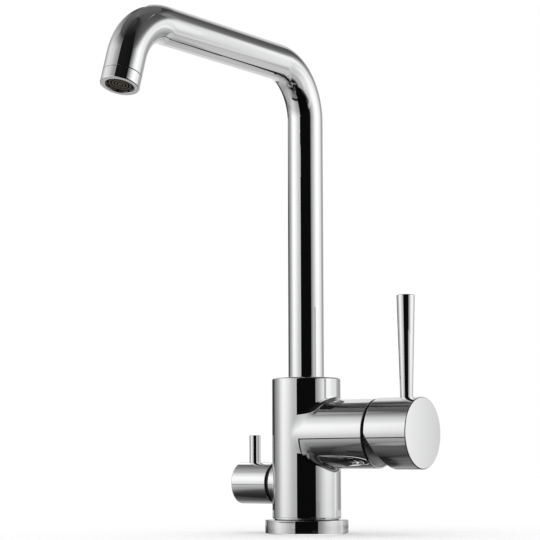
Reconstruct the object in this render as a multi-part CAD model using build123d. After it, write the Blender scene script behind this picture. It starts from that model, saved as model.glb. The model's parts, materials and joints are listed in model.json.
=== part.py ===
"""Single-lever kitchen mixer tap with a swivelling tube spout and a dishwasher shut-off valve.

Millimetres, Z up. The origin is the middle of the base on the worktop. The spout points to -Y,
the lever's branch to +X and the dishwasher valve to -X.
"""
from build123d import *
import math
import os

# Clearances between pieces
running_gap = 0.05      # radial gap of pieces that turn in each other
seat_gap = 0.2          # gap between flat faces that slide on each other
drop_in_gap = 0.3       # radial gap of pieces that are only dropped into place
shadow_gap = 0.45       # open line between the branch and the dome cover
past = 1.0              # how far a cutting tool runs past the face that it opens

# Base ring and its gasket
base_radius = 27.9
base_height = 9.2
base_edge = 0.7
gasket_width = 4.5
gasket_height = 2.5
gasket_margin = 2.4     # ring left outside the gasket

# Column
body_radius = 23.1
body_top = 103.9
top_round = 1.6
foot_round = 2.0

# Lever branch
branch_radius = 22.9
branch_height = 66.0
branch_end = 56.15
branch_blend = 3.0      # rounding where the branch meets the column
branch_edge = 0.4

# Dishwasher valve boss
valve_height = 33.4
boss_radius = 13.9
boss_end = 22.2

# Inlet block in the column's foot, with the threads of its underside
block_radius = 18.0
block_height = 16.5
port_radius = 4.5       # inlet and outlet threads, M10 x 1
port_depth = 12.0
stud_radius = 3.4       # fixing stud thread, M8
stud_depth = 14.0
inlet_x = 8.5
inlet_y = 8.5
inlet_stagger = 1.3     # the cold inlet is that much nearer to the middle, so that the hoses clear
washer_outlet_x = -10.0
washer_outlet_y = 5.0
stud_x = -6.5
stud_y = -10.0
channel_radius = 3.5

# Spout
tube_radius = 12.0
tube_wall = 1.5
arm_height = 315.2
spout_reach = 203.5
outlet_drop = 45.2
outlet_lean = 18.0      # degrees from straight down, outwards
riser_bend = 36.0
outlet_bend = 37.5
tube_insertion = 3.9    # tube below the column's top face

# Spout shank
shank_length = 20.0
shank_bore = 8.0
shank_spigot = 12.0     # part of the shank inside the tube
seal_wire = 1.0         # wire radius of the rubber rings
seal_land = 3.5         # shank foot to the middle of the lower seal
seal_pitch = 4.6
stop_land = 14.0        # shank foot to the middle of the stop groove
stop_groove_depth = 1.7
swing_limit = 60.0      # degrees to each side
glide_wall = 1.5
glide_height = 5.0
glide_recess = 0.6
thrust_washer_height = 1.2
outlet_bore = 6.0       # mixed water way up to the shank

# Stop screw, M5 with a dog point
stop_screw_radius = 2.5
stop_screw_length = 9.0
dog_radius = 1.5
hex_key_radius = 1.4
hex_key_depth = 3.0

# Aerator
sleeve_length = 7.7
sleeve_spigot = 6.0
sleeve_bore = 7.0
outlet_radius = 8.85
insert_height = 7.0
insert_recess = 1.2
insert_ring_pitch = 1.9
insert_ring_width = 0.9
insert_ring_depth = 1.4
key_notch_width = 1.6
key_notch_depth = 1.5
key_notch_reach = 1.0
key_notches = 8
aerator_washer_height = 1.5

# Mixing cartridge, along the branch
chamber_floor = 24.0
cartridge_radius = 17.5
cartridge_base_height = 5.0
peg_radius = 1.9
peg_length = 2.0
peg_spacing = 12.0
cartridge_port = 3.2
port_offset = 6.0       # ports above and below the cartridge's axis
port_seal_wall = 1.7
port_seal_height = 1.4
disc_radius = 14.5
fixed_disc_height = 4.0
moving_disc_radius = 11.8
moving_disc_height = 3.5
pocket_radius = 8.6
pocket_depth = 2.0
pocket_offset = 1.5
carrier_height = 4.0
carrier_flat = 9.5
housing_wall = 2.5
housing_shoulder = 44.0
neck_radius = 15.2
neck_end = 52.0
rotor_radius = 13.2
rotor_start = 41.5
rotor_end = 53.0
rotor_flange_radius = 14.8
rotor_flange_height = 1.5
pivot_x = 49.0
pivot_pin_radius = 1.5
flow_limit = 25.0       # degrees of lever tilt
nut_height = 7.5
nut_thread_radius = 20.0
nut_notch_width = 4.0
nut_notch_depth = 2.5
nut_notches = 4

# Lever stem
stem_side = 8.0
stem_end = 84.0
stem_arm_side = 4.4
stem_arm_end = 40.5
ball_radius = 2.8
ball_x = 39.6

# Dome cover
dome_radius = 23.6
dome_wall = 1.5
dome_hole = 15.0
dome_flange_thickness = 0.6
dome_skirt_wall = 1.5

# Lever hub and rod
hub_radius = 23.5
hub_start = 58.4
hub_end = 89.8
hub_edge = 0.8
hub_dome_gap = 0.4
hub_cut_angle = 27.0    # slant of the lower half's rim
rod_x = 77.7
rod_top = 156.5
rod_top_radius = 6.0
rod_foot_radius = 4.1
rod_edge = 0.6
rod_sink = 1.5          # rod's shoulder below the hub's top
rod_thread_radius = 3.0
rod_thread_length = 13.0
hub_screw_radius = 2.5
hub_screw_length = 10.0

# Dishwasher valve, along its own axis away from the column
valve_floor = 5.0
valve_bore = 8.5
feed_radius = 2.2
feed_y = -4.0
valve_seal_height = 1.2
valve_seal_wall = 1.6
valve_disc_height = 2.5
valve_disc_radius = 7.6
valve_port_radius = 2.0
valve_cup_wall = 0.6
valve_cup_depth = 14.0
valve_neck_radius = 7.0
valve_neck_end = 33.5
valve_hex_start = 23.4
valve_hex_height = 2.6
valve_hex_across = 19.0
spindle_radius = 4.0
spindle_end = 47.0
spindle_flange_radius = 5.0
spindle_flange_height = 2.0
spindle_key_width = 2.0
spindle_key_height = 1.0
spindle_seal_x = 28.0
spacer_outer = 12.9
spacer_inner = 11.3

# Valve knob and pin
knob_radius = 14.0
knob_start = 24.9
knob_end = 52.5
knob_edge = 0.8
knob_cavity_radius = 11.6
knob_cavity_end = 34.5
knob_socket_end = 47.5
pin_x = 42.0
pin_radius = 3.76
pin_top = 65.9
pin_edge = 0.4
pin_sink = 2.5
pin_thread_radius = 2.5
pin_thread_length = 6.0
knob_screw_radius = 2.0
knob_screw_length = 7.0

# Worked out from the sizes above
foot_of_bar = (Align.CENTER, Align.CENTER, Align.MIN)
spout_bore = tube_radius + running_gap
tube_inner = tube_radius - tube_wall
shank_radius = tube_radius - 2 * running_gap
tube_foot = body_top - tube_insertion
shank_foot = tube_foot - shank_length
thrust_seat = shank_foot - seat_gap - thrust_washer_height
stop_height = shank_foot + stop_land
seal_groove_floor = shank_radius - 2 * seal_wire + running_gap
seal_groove_width = 2 * seal_wire + 2 * drop_in_gap
seal_heights = [shank_foot + seal_land, shank_foot + seal_land + seal_pitch]
inlet_places = [(inlet_x - inlet_stagger, -inlet_y), (inlet_x, inlet_y)]
washer_outlet_place = (washer_outlet_x, washer_outlet_y)
inlet_level = branch_height + port_offset
outlet_level = branch_height - port_offset
cartridge_bore = cartridge_radius + drop_in_gap
disc_face = chamber_floor + cartridge_base_height + fixed_disc_height
carrier_face = disc_face + moving_disc_height
stem_arm = pivot_x - ball_x
disc_travel = stem_arm * math.radians(flow_limit)
disc_centre = branch_height - disc_travel / 2
nut_end = housing_shoulder + nut_height
dome_flange_start = branch_end + shadow_gap
dome_face = dome_flange_start + dome_flange_thickness
lean = math.radians(outlet_lean)
outlet_way = Vector(0, -math.sin(lean), -math.cos(lean))
outlet_end = Vector(0, -spout_reach, arm_height - outlet_drop)
sleeve_start = outlet_end - outlet_way * sleeve_length
hub_top = branch_height + hub_radius
rod_shoulder = hub_top - rod_sink
knob_top = valve_height + knob_radius
pin_shoulder = knob_top - pin_sink
valve_disc_face = valve_floor + valve_seal_height + valve_disc_height
spindle_face = valve_disc_face + valve_disc_height


def bar(along, radius, start, end, x=0.0, y=0.0, z=0.0):
    """A round bar along one axis, between two places on it."""
    low = min(start, end)
    place = {"X": (low, y, z), "Y": (x, low, z), "Z": (x, y, low)}[along]
    turn = {"X": (0, 90, 0), "Y": (-90, 0, 0), "Z": (0, 0, 0)}[along]
    return Location(place, turn) * Cylinder(radius, abs(end - start), align=foot_of_bar)


def ring(along, outer, inner, start, end, **place):
    """A round bar with a bore through it."""
    low = min(start, end) - past
    high = max(start, end) + past
    return bar(along, outer, start, end, **place) - bar(along, inner, low, high, **place)


def block(x0, x1, y0, y1, z0, z1):
    """A box between two corners."""
    size = Box(x1 - x0, y1 - y0, z1 - z0, align=(Align.MIN, Align.MIN, Align.MIN))
    return Location((x0, y0, z0)) * size


def end_edge(shape, axis, index):
    """The round edge that lies lowest (0) or highest (-1) along an axis."""
    return shape.edges().filter_by(GeomType.CIRCLE).sort_by(axis)[index]


def hex_key(along, mouth, inward, x=0.0, y=0.0, z=0.0):
    """The hexagon socket of a set screw, from its mouth inwards."""
    low = min(mouth, mouth + inward * hex_key_depth)
    place = {"X": (low, y, z), "Y": (x, low, z), "Z": (x, y, low)}[along]
    turn = {"X": (0, 90, 0), "Y": (-90, 0, 0), "Z": (0, 0, 0)}[along]
    return Location(place, turn) * extrude(RegularPolygon(hex_key_radius, 6), hex_key_depth)


def round_branch(shape):
    """Rounds the curve where the branch leaves the column."""
    curves = []
    for edge in shape.edges():
        if edge.geom_type not in (GeomType.CIRCLE, GeomType.LINE):
            curves.append(edge)
    return fillet(curves, branch_blend)


def main_body():
    """Column, branch and boss in one casting, with its bores and water ways."""
    shape = bar("Z", body_radius, base_height, body_top)
    shape += bar("X", branch_radius, 0, branch_end, z=branch_height)
    shape = round_branch(shape)
    shape = fillet(end_edge(shape, Axis.Z, -1), top_round)
    shape = fillet(end_edge(shape, Axis.Z, 0), foot_round)
    shape = fillet(end_edge(shape, Axis.X, -1), branch_edge)
    shape += bar("X", boss_radius, 0, -boss_end, z=valve_height)
    shape -= bar("Z", block_radius + running_gap, base_height - past, block_height)
    for tool in cartridge_bores() + spout_bores() + valve_bores() + inlet_bores():
        shape -= tool
    return shape


def inlet_block():
    """Brass block pressed into the column's foot: threads for the hoses and the fixing stud, with ways up."""
    shape = bar("Z", block_radius, 0, block_height)
    shape -= bar("Z", stud_radius, -past, stud_depth, x=stud_x, y=stud_y)
    for x, y in inlet_places + [washer_outlet_place]:
        shape -= bar("Z", port_radius, -past, port_depth, x=x, y=y)
        shape -= bar("Z", channel_radius, 0, block_height + past, x=x, y=y)
    return shape


def cartridge_bores():
    """Chamber, nut thread and peg holes of the cartridge."""
    tools = [
        bar("X", cartridge_bore, chamber_floor, branch_end + past, z=branch_height),
        bar("X", nut_thread_radius, housing_shoulder - seat_gap, branch_end + past, z=branch_height),
    ]
    for side in (-1, 1):
        peg_y = side * peg_spacing
        depth = chamber_floor - peg_length - drop_in_gap
        tools.append(bar("X", peg_radius + running_gap, depth, chamber_floor + past, y=peg_y, z=branch_height))
    return tools


def spout_bores():
    """Socket of the spout shank, glide ring seat, stop screw hole and the way for mixed water."""
    glide_bore = spout_bore + glide_wall
    return [
        bar("Z", spout_bore, thrust_seat, body_top + past),
        bar("Z", glide_bore, body_top - glide_recess - glide_height, body_top + past),
        bar("Y", stop_screw_radius, 0, body_radius + past, z=stop_height),
        bar("Z", outlet_bore, outlet_level - channel_radius, thrust_seat + past),
        bar("X", channel_radius, 0, chamber_floor + past, z=outlet_level),
    ]


def inlet_bores():
    """Cold and hot risers above the inlet block, each with a way into the cartridge chamber."""
    tools = []
    for x, y in inlet_places:
        tools.append(bar("Z", channel_radius, block_height - past, inlet_level, x=x, y=y))
        tools.append(bar("X", channel_radius, x, chamber_floor + past, y=y, z=inlet_level))
    return tools


def valve_bores():
    """Bore of the dishwasher valve, its feed from the cold riser and its way down to the outlet."""
    cold_x = inlet_places[0][0]
    mouth = body_radius + past
    drop_start = valve_height - valve_bore / 2
    return [
        bar("X", valve_bore, -valve_floor, -mouth, z=valve_height),
        bar("X", feed_radius, -valve_floor - past, cold_x, y=feed_y, z=valve_height),
        bar("Z", channel_radius, block_height - past, drop_start, x=washer_outlet_x, y=washer_outlet_y),
    ]


def base_ring():
    """Turned ring between the column and the worktop, with the gasket's groove."""
    shape = bar("Z", base_radius, 0, base_height)
    shape = fillet(shape.edges().filter_by(GeomType.CIRCLE), base_edge)
    shape -= bar("Z", block_radius + running_gap, -past, base_height + past)
    return shape - base_gasket()


def base_gasket():
    """Rubber ring flush with the base ring's underside."""
    outer = base_radius - gasket_margin
    return ring("Z", outer, outer - gasket_width, 0, gasket_height)


def spout_path(end):
    """Centre line of the spout: riser, bend, level arm, bend and outlet."""
    back = outlet_drop / math.cos(lean)
    corner = outlet_end - outlet_way * back
    points = [(0, 0, tube_foot), (0, 0, arm_height), corner, end]
    return FilletPolyline(*points, radius=[riser_bend, outlet_bend])


def spout_tube():
    """Bent tube, open at both ends."""
    path = spout_path(sleeve_start)
    foot = Plane((0, 0, tube_foot))
    return sweep(foot * Circle(tube_radius), path) - sweep(foot * Circle(tube_inner), path)


def spout_shank():
    """Brass end of the spout: spigot in the tube, seal grooves and a stop groove over part of the turn."""
    shape = bar("Z", shank_radius, shank_foot, tube_foot)
    shape += bar("Z", tube_inner, tube_foot, tube_foot + shank_spigot)
    shape -= bar("Z", shank_bore, shank_foot - past, tube_foot + shank_spigot + past)
    for height in seal_heights:
        low = height - seal_groove_width / 2
        shape -= ring("Z", shank_radius + past, seal_groove_floor, low, low + seal_groove_width)
    return shape - stop_groove()


def stop_groove():
    """Groove for the stop screw's point, round the back of the shank as far as the spout swings."""
    floor = shank_radius - stop_groove_depth
    half_height = dog_radius + drop_in_gap
    point_angle = math.degrees(math.asin((dog_radius + drop_in_gap) / floor))
    half_turn = swing_limit + point_angle
    whole = ring("Z", shank_radius + past, floor, stop_height - half_height, stop_height + half_height)
    height = 2 * half_height
    centred = (Align.NONE, Align.NONE, Align.MIN)
    wedge = Cylinder(2 * shank_radius, height, arc_size=2 * half_turn, align=centred)
    return whole & (Location((0, 0, stop_height - half_height), (0, 0, 90 - half_turn)) * wedge)


def spout_seals():
    """Two rubber rings in the shank's grooves."""
    middle = seal_groove_floor + seal_wire
    return [Location((0, 0, height)) * Torus(middle, seal_wire) for height in seal_heights]


def spout_glide_ring():
    """Plastic bearing ring in the column's mouth."""
    top = body_top - glide_recess
    return ring("Z", spout_bore + glide_wall, spout_bore, top - glide_height, top)


def spout_thrust_washer():
    """Plastic washer that carries the shank."""
    return ring("Z", spout_bore, shank_bore, thrust_seat, thrust_seat + thrust_washer_height)


def spout_stop_screw():
    """Set screw at the back of the column, its point in the stop groove."""
    tip = shank_radius - stop_groove_depth + drop_in_gap
    shoulder = spout_bore + drop_in_gap
    head = shoulder + stop_screw_length
    shape = bar("Y", stop_screw_radius, shoulder, head, z=stop_height)
    shape += bar("Y", dog_radius, tip, shoulder, z=stop_height)
    return shape - hex_key("Y", head, -1, z=stop_height)


def at_outlet(shape, distance):
    """Puts a shape that is built along Z at a distance back from the outlet's mouth, along the outlet."""
    return Plane(outlet_end - outlet_way * distance, x_dir=(1, 0, 0), z_dir=-outlet_way) * shape


def aerator_sleeve():
    """Chromed end of the spout, screwed into the tube."""
    shape = bar("Z", tube_radius, 0, sleeve_length)
    shape = fillet(end_edge(shape, Axis.Z, 0), base_edge)
    shape += bar("Z", tube_inner, sleeve_length, sleeve_length + sleeve_spigot)
    shape -= bar("Z", outlet_radius, -past, insert_recess + insert_height + aerator_washer_height)
    shape -= bar("Z", sleeve_bore, 0, sleeve_length + sleeve_spigot + past)
    return at_outlet(shape, 0)


def aerator_insert():
    """Ringed plastic insert, recessed in the sleeve, with notches for its key."""
    radius = outlet_radius - running_gap
    shape = bar("Z", radius, 0, insert_height)
    groove = insert_ring_pitch - insert_ring_width
    outer = radius - insert_ring_width
    while outer - groove > insert_ring_width:
        shape -= ring("Z", outer, outer - groove, -past, insert_ring_depth)
        outer -= insert_ring_pitch
    half = key_notch_width / 2
    notch = block(radius - key_notch_reach, radius + past, -half, half, -past, key_notch_depth)
    for step in range(key_notches):
        shape -= Location((0, 0, 0), (0, 0, 360 / key_notches * step)) * notch
    return at_outlet(shape, insert_recess)


def aerator_washer():
    """Rubber washer between the insert and the sleeve's inner shoulder."""
    shape = ring("Z", outlet_radius - running_gap, sleeve_bore, 0, aerator_washer_height)
    return at_outlet(shape, insert_recess + insert_height)


def cartridge_ports(radius, start, end):
    """Cutters for the two inlets above the cartridge's axis and the outlet below it."""
    inlets = [bar("X", radius, start, end, y=side * inlet_y, z=inlet_level) for side in (-1, 1)]
    return inlets + [bar("X", radius, start, end, z=outlet_level)]


def cartridge_base():
    """Plastic base with ports, seal seats and two locating pegs."""
    top = chamber_floor + cartridge_base_height
    shape = bar("X", cartridge_radius, chamber_floor, top, z=branch_height)
    for side in (-1, 1):
        start = chamber_floor - peg_length
        shape += bar("X", peg_radius, start, chamber_floor + past, y=side * peg_spacing, z=branch_height)
    for tool in cartridge_ports(cartridge_port, chamber_floor - past, top + past):
        shape -= tool
    seat = chamber_floor + port_seal_height
    for tool in cartridge_ports(cartridge_port + port_seal_wall, chamber_floor - past, seat):
        shape -= tool
    return shape


def cartridge_seals():
    """Rubber rings round the three ports, between the base and the chamber's floor."""
    outers = cartridge_ports(cartridge_port + port_seal_wall, chamber_floor, chamber_floor + port_seal_height)
    inners = cartridge_ports(cartridge_port, chamber_floor - past, chamber_floor + port_seal_height + past)
    return [outer - inner for outer, inner in zip(outers, inners)]


def cartridge_housing():
    """Plastic housing: a drum round the discs and a neck round the rotor."""
    start = chamber_floor + cartridge_base_height
    shape = bar("X", cartridge_radius, start, housing_shoulder, z=branch_height)
    shape += bar("X", neck_radius, housing_shoulder, neck_end, z=branch_height)
    ledge = rotor_start + rotor_flange_height + seat_gap
    shape -= bar("X", cartridge_radius - housing_wall, start - past, ledge, z=branch_height)
    return shape - bar("X", rotor_radius + running_gap, start, neck_end + past, z=branch_height)


def fixed_disc():
    """Ceramic disc with the three ports."""
    start = chamber_floor + cartridge_base_height
    shape = bar("X", disc_radius, start, disc_face, z=branch_height)
    for tool in cartridge_ports(cartridge_port, start - past, disc_face + past):
        shape -= tool
    return shape


def moving_disc():
    """Ceramic disc that slides and turns on the fixed disc, with the mixing pocket in its face."""
    shape = bar("X", moving_disc_radius, disc_face, carrier_face, z=disc_centre)
    pocket_centre = disc_centre - pocket_offset
    return shape - bar("X", pocket_radius, disc_face - past, disc_face + pocket_depth, z=pocket_centre)


def disc_carrier():
    """Plate that holds the moving disc, with flats for the rotor's prongs and a slot for the stem's ball."""
    end = carrier_face + carrier_height
    shape = bar("X", moving_disc_radius, carrier_face, end, z=disc_centre)
    reach = cartridge_radius
    shape &= block(carrier_face, end, -carrier_flat, carrier_flat, disc_centre - reach, disc_centre + reach)
    half = ball_radius + drop_in_gap
    return shape - block(
        carrier_face - past, end + past, -half, half, branch_height - half, branch_height + half
    )


def cartridge_rotor():
    """Turning guide in the neck: a slot for the stem and two prongs that turn the disc carrier."""
    shape = bar("X", rotor_radius, rotor_start, rotor_end, z=branch_height)
    flange_end = rotor_start + rotor_flange_height
    shape += bar("X", rotor_flange_radius, rotor_start, flange_end, z=branch_height)
    prong_start = carrier_face + drop_in_gap
    prongs = bar("X", rotor_flange_radius, prong_start, rotor_start + past, z=branch_height)
    inside = carrier_flat + drop_in_gap
    reach = cartridge_radius
    prongs -= block(
        prong_start - past, rotor_start, -inside, inside, branch_height - reach, branch_height + reach
    )
    shape += prongs
    half_width = stem_side / 2 + drop_in_gap
    swing = math.tan(math.radians(flow_limit))
    deepest = max(rotor_end - pivot_x, pivot_x - rotor_start)
    half_slot = stem_side / 2 + deepest * swing + 2 * drop_in_gap
    shape -= block(
        prong_start, rotor_end + past, -half_width, half_width, branch_height - half_slot, branch_height + half_slot
    )
    return shape - bar("Y", pivot_pin_radius, -rotor_radius - past, rotor_radius + past, x=pivot_x, z=branch_height)


def pivot_pin():
    """Steel pin across the rotor, which the stem tilts on."""
    half = rotor_radius - drop_in_gap
    return bar("Y", pivot_pin_radius, -half, half, x=pivot_x, z=branch_height)


def lever_stem():
    """Square stem on the pivot pin, with a ball that pushes the disc carrier."""
    half = stem_side / 2
    start = pivot_x - half
    shape = block(start, stem_end, -half, half, branch_height - half, branch_height + half)
    arm = stem_arm_side / 2
    shape += block(stem_arm_end, start + past, -arm, arm, branch_height - arm, branch_height + arm)
    shape += Location((ball_x, 0, branch_height)) * Sphere(ball_radius)
    pin_hole = pivot_pin_radius + running_gap
    return shape - bar("Y", pin_hole, -stem_side, stem_side, x=pivot_x, z=branch_height)


def cartridge_nut():
    """Threaded ring on the cartridge's shoulder, with notches for its key."""
    outer = nut_thread_radius - running_gap
    inner = neck_radius + drop_in_gap
    shape = ring("X", outer, inner, housing_shoulder, nut_end, z=branch_height)
    half = nut_notch_width / 2
    notch = block(nut_end - nut_notch_depth, nut_end + past, -half, half, 0, nut_thread_radius + past)
    for step in range(nut_notches):
        turn = 360 / nut_notches * (step + 0.5)
        shape -= Location((0, 0, branch_height), (turn, 0, 0)) * notch
    return shape


def beside_axis(along, radius):
    """A point of a turned profile beside the branch's axis, at a place along it."""
    return Vector(along, 0, branch_height + radius)


def on_sphere(radius, turn):
    """The point of a circle round the lever's pivot at an angle from the branch's axis, in radians."""
    return beside_axis(pivot_x + radius * math.cos(turn), radius * math.sin(turn))


def sphere_arc(radius, first, last):
    """Arc round the lever's pivot between two angles from the branch's axis."""
    middle = (first + last) / 2
    return ThreePointArc(on_sphere(radius, first), on_sphere(radius, middle), on_sphere(radius, last))


def turned(*lines):
    """Solid of revolution about the branch's axis from a closed profile."""
    return revolve(make_face(Curve() + lines), Axis((0, 0, branch_height), (1, 0, 0)))


def dome_cover():
    """Cover ring screwed into the branch's mouth: skirt, thin flange and a dome round the lever's pivot."""
    skirt = nut_thread_radius - running_gap
    inner = skirt - dome_skirt_wall
    lining = dome_radius - dome_wall
    foot_turn = math.acos((dome_face - pivot_x) / dome_radius)
    mouth_turn = math.asin(dome_hole / dome_radius)
    lining_mouth = math.asin(dome_hole / lining)
    lining_foot = math.asin(inner / lining)
    steps = Polyline(
        on_sphere(lining, lining_foot),
        beside_axis(nut_end, inner),
        beside_axis(nut_end, skirt),
        beside_axis(dome_flange_start, skirt),
        beside_axis(dome_flange_start, branch_radius),
        beside_axis(dome_face, branch_radius),
        on_sphere(dome_radius, foot_turn),
    )
    outside = sphere_arc(dome_radius, foot_turn, mouth_turn)
    mouth = Line(on_sphere(dome_radius, mouth_turn), on_sphere(lining, lining_mouth))
    inside = sphere_arc(lining, lining_mouth, lining_foot)
    return turned(steps, outside, mouth, inside)


def hub_cutter():
    """Wedge below the branch's axis that frees the hub's lower rim when the lever tilts."""
    depth = hub_radius + past
    slant = depth * math.tan(math.radians(hub_cut_angle))
    corners = Polyline(
        (hub_start - past, 0, branch_height),
        (hub_start, 0, branch_height),
        (hub_start + slant, 0, branch_height - depth),
        (hub_start - past, 0, branch_height - depth),
        close=True,
    )
    return extrude(make_face(corners), depth, dir=(0, 1, 0), both=True)


def handle_hub():
    """Lever hub: a cup over the dome, solid at its outer end, with holes for stem, rod and set screw."""
    cup = dome_radius + hub_dome_gap
    rim_turn = math.acos((hub_start - pivot_x) / cup)
    steps = Polyline(
        on_sphere(cup, rim_turn),
        beside_axis(hub_start, hub_radius),
        beside_axis(hub_end, hub_radius),
        beside_axis(hub_end, 0),
        on_sphere(cup, 0),
    )
    shape = turned(steps, sphere_arc(cup, 0, rim_turn))
    shape = fillet(end_edge(shape, Axis.X, -1), hub_edge)
    shape -= hub_cutter()
    half = stem_side / 2 + running_gap
    socket_end = stem_end + drop_in_gap
    shape -= block(pivot_x, socket_end, -half, half, branch_height - half, branch_height + half)
    shape -= bar("Z", rod_foot_radius + running_gap, rod_shoulder, hub_top + past, x=rod_x)
    shape -= bar("Z", rod_thread_radius, rod_shoulder - rod_thread_length, hub_top, x=rod_x)
    bottom = branch_height - hub_radius - past
    return shape - bar("Z", hub_screw_radius, bottom, branch_height, x=rod_x)


def lever_rod():
    """Rod that widens upwards, on a threaded root."""
    length = rod_top - rod_shoulder
    shape = Location((rod_x, 0, rod_shoulder)) * Cone(rod_foot_radius, rod_top_radius, length, align=foot_of_bar)
    shape = fillet(end_edge(shape, Axis.Z, -1), rod_edge)
    return shape + bar("Z", rod_thread_radius, rod_shoulder - rod_thread_length, rod_shoulder, x=rod_x)


def hub_screw():
    """Set screw from below that clamps the hub on the stem."""
    tip = branch_height - stem_side / 2
    head = tip - hub_screw_length
    shape = bar("Z", hub_screw_radius, head, tip, x=rod_x)
    return shape - hex_key("Z", head, 1, x=rod_x)


def valve_body():
    """Brass headwork: a cup round the discs, a hexagon to screw it in and a neck round the spindle."""
    start = valve_floor + valve_seal_height
    outer = valve_bore - running_gap
    shape = bar("X", outer, -start, -valve_hex_start, z=valve_height)
    hexagon = extrude(RegularPolygon(valve_hex_across / 2, 6, major_radius=False), valve_hex_height)
    shape += Location((-valve_hex_start, 0, valve_height), (0, -90, 0)) * hexagon
    shape += bar("X", valve_neck_radius, -valve_hex_start, -valve_neck_end, z=valve_height)
    shape -= bar("X", outer - valve_cup_wall, -start + past, -valve_cup_depth, z=valve_height)
    shape -= bar("X", spindle_radius + running_gap, -start, -valve_neck_end - past, z=valve_height)
    seal_start = spindle_seal_x - seal_wire - drop_in_gap
    seal_end = spindle_seal_x + seal_wire + drop_in_gap
    shape -= bar("X", spindle_seal_bore(), -seal_start, -seal_end, z=valve_height)
    window_x = -(spindle_face + valve_cup_depth) / 2
    return shape - bar("Z", channel_radius / 2, 0, valve_height, x=window_x, y=washer_outlet_y)


def spindle_seal_bore():
    """Radius of the groove in the headwork's neck for the spindle's rubber ring."""
    return spindle_radius + running_gap + 2 * seal_wire


def valve_fixed_disc():
    """Ceramic disc with the port of the cold feed."""
    start = valve_floor + valve_seal_height
    shape = bar("X", valve_disc_radius, -start, -valve_disc_face, z=valve_height)
    return shape - bar("X", valve_port_radius, -start + past, -valve_disc_face - past, y=feed_y, z=valve_height)


def valve_turning_disc():
    """Ceramic disc with a window a quarter turn from the port, and a slot for the spindle's key."""
    shape = bar("X", valve_disc_radius, -valve_disc_face, -spindle_face, z=valve_height)
    window_z = valve_height - feed_y
    shape -= bar("X", valve_port_radius, -valve_disc_face + past, -spindle_face - past, z=window_z)
    half = spindle_key_width / 2
    reach = spindle_flange_radius
    slot_end = spindle_face - spindle_key_height
    return shape - block(
        -spindle_face - past, -slot_end, -reach, reach, valve_height - half, valve_height + half
    )


def valve_seat_seal():
    """Rubber ring between the fixed disc and the floor of the valve's bore."""
    end = valve_floor + valve_seal_height
    return ring("X", valve_disc_radius, valve_disc_radius - valve_seal_wall, -valve_floor, -end, z=valve_height)


def valve_spindle():
    """Brass spindle: a flange with a key for the disc, a shaft in the neck and an end in the knob."""
    flange_end = spindle_face + spindle_flange_height
    shape = bar("X", spindle_flange_radius, -spindle_face, -flange_end, z=valve_height)
    shape += bar("X", spindle_radius, -spindle_face, -spindle_end, z=valve_height)
    half = spindle_key_width / 2
    key_start = spindle_face - spindle_key_height
    key = block(
        -spindle_face - past, -key_start, -spindle_radius, spindle_radius, valve_height - half, valve_height + half
    )
    return shape + key


def valve_spindle_seal():
    """Rubber ring between the spindle and the neck."""
    middle = spindle_seal_bore() - seal_wire
    return Location((-spindle_seal_x, 0, valve_height), (0, 90, 0)) * Torus(middle, seal_wire - running_gap)


def valve_spacer():
    """Dark plastic ring that fills the gap between the boss and the knob."""
    shape = ring("X", spacer_outer, spacer_inner, -boss_end, -knob_start + drop_in_gap, z=valve_height)
    return shape - bar("Z", body_radius, 0, body_top)


def valve_knob():
    """Round knob: a cup over the headwork, solid at its outer end, with holes for spindle, pin and screw."""
    shape = bar("X", knob_radius, -knob_start, -knob_end, z=valve_height)
    shape = fillet(end_edge(shape, Axis.X, 0), knob_edge)
    shape -= bar("X", knob_cavity_radius, -knob_start + past, -knob_cavity_end, z=valve_height)
    shape -= bar("X", spindle_radius + running_gap, -knob_cavity_end + past, -knob_socket_end, z=valve_height)
    shape -= bar("Z", pin_radius + running_gap, pin_shoulder, knob_top + past, x=-pin_x)
    shape -= bar("Z", pin_thread_radius, pin_shoulder - pin_thread_length, knob_top, x=-pin_x)
    bottom = valve_height - knob_radius - past
    return shape - bar("Z", knob_screw_radius, bottom, valve_height, x=-pin_x)


def valve_pin():
    """Upright pin on the knob, on a threaded root."""
    shape = bar("Z", pin_radius, pin_shoulder, pin_top, x=-pin_x)
    shape = fillet(end_edge(shape, Axis.Z, -1), pin_edge)
    return shape + bar("Z", pin_thread_radius, pin_shoulder - pin_thread_length, pin_shoulder, x=-pin_x)


def valve_knob_screw():
    """Set screw from below that clamps the knob on the spindle."""
    tip = valve_height - spindle_radius
    head = tip - knob_screw_length
    shape = bar("Z", knob_screw_radius, head, tip, x=-pin_x)
    return shape - hex_key("Z", head, 1, x=-pin_x)


pieces = [
    main_body, inlet_block, base_ring, base_gasket,
    cartridge_base, cartridge_seals, cartridge_housing, fixed_disc, moving_disc, disc_carrier,
    cartridge_rotor, pivot_pin, lever_stem, cartridge_nut, dome_cover,
    handle_hub, lever_rod, hub_screw,
    spout_tube, spout_shank, spout_seals, spout_glide_ring, spout_thrust_washer, spout_stop_screw,
    aerator_sleeve, aerator_insert, aerator_washer,
    valve_body, valve_fixed_disc, valve_turning_disc, valve_seat_seal, valve_spindle, valve_spindle_seal,
    valve_spacer, valve_knob, valve_pin, valve_knob_screw,
]

os.makedirs("parts", exist_ok=True)
for piece in pieces:
    made = piece()
    if isinstance(made, list):
        made = Compound(children=made)
    export_step(made, f"parts/{piece.__name__}.step")
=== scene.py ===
"""A chrome single-lever kitchen mixer tap with a swivelling tube spout and a dishwasher shut-off knob.

Metres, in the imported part's own frame: Z up, the spout to -Y, the lever's branch to +X and the knob to -X.
"""
import json
import math

import bpy
import numpy as np
from mathutils import Matrix, Vector, geometry


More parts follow.
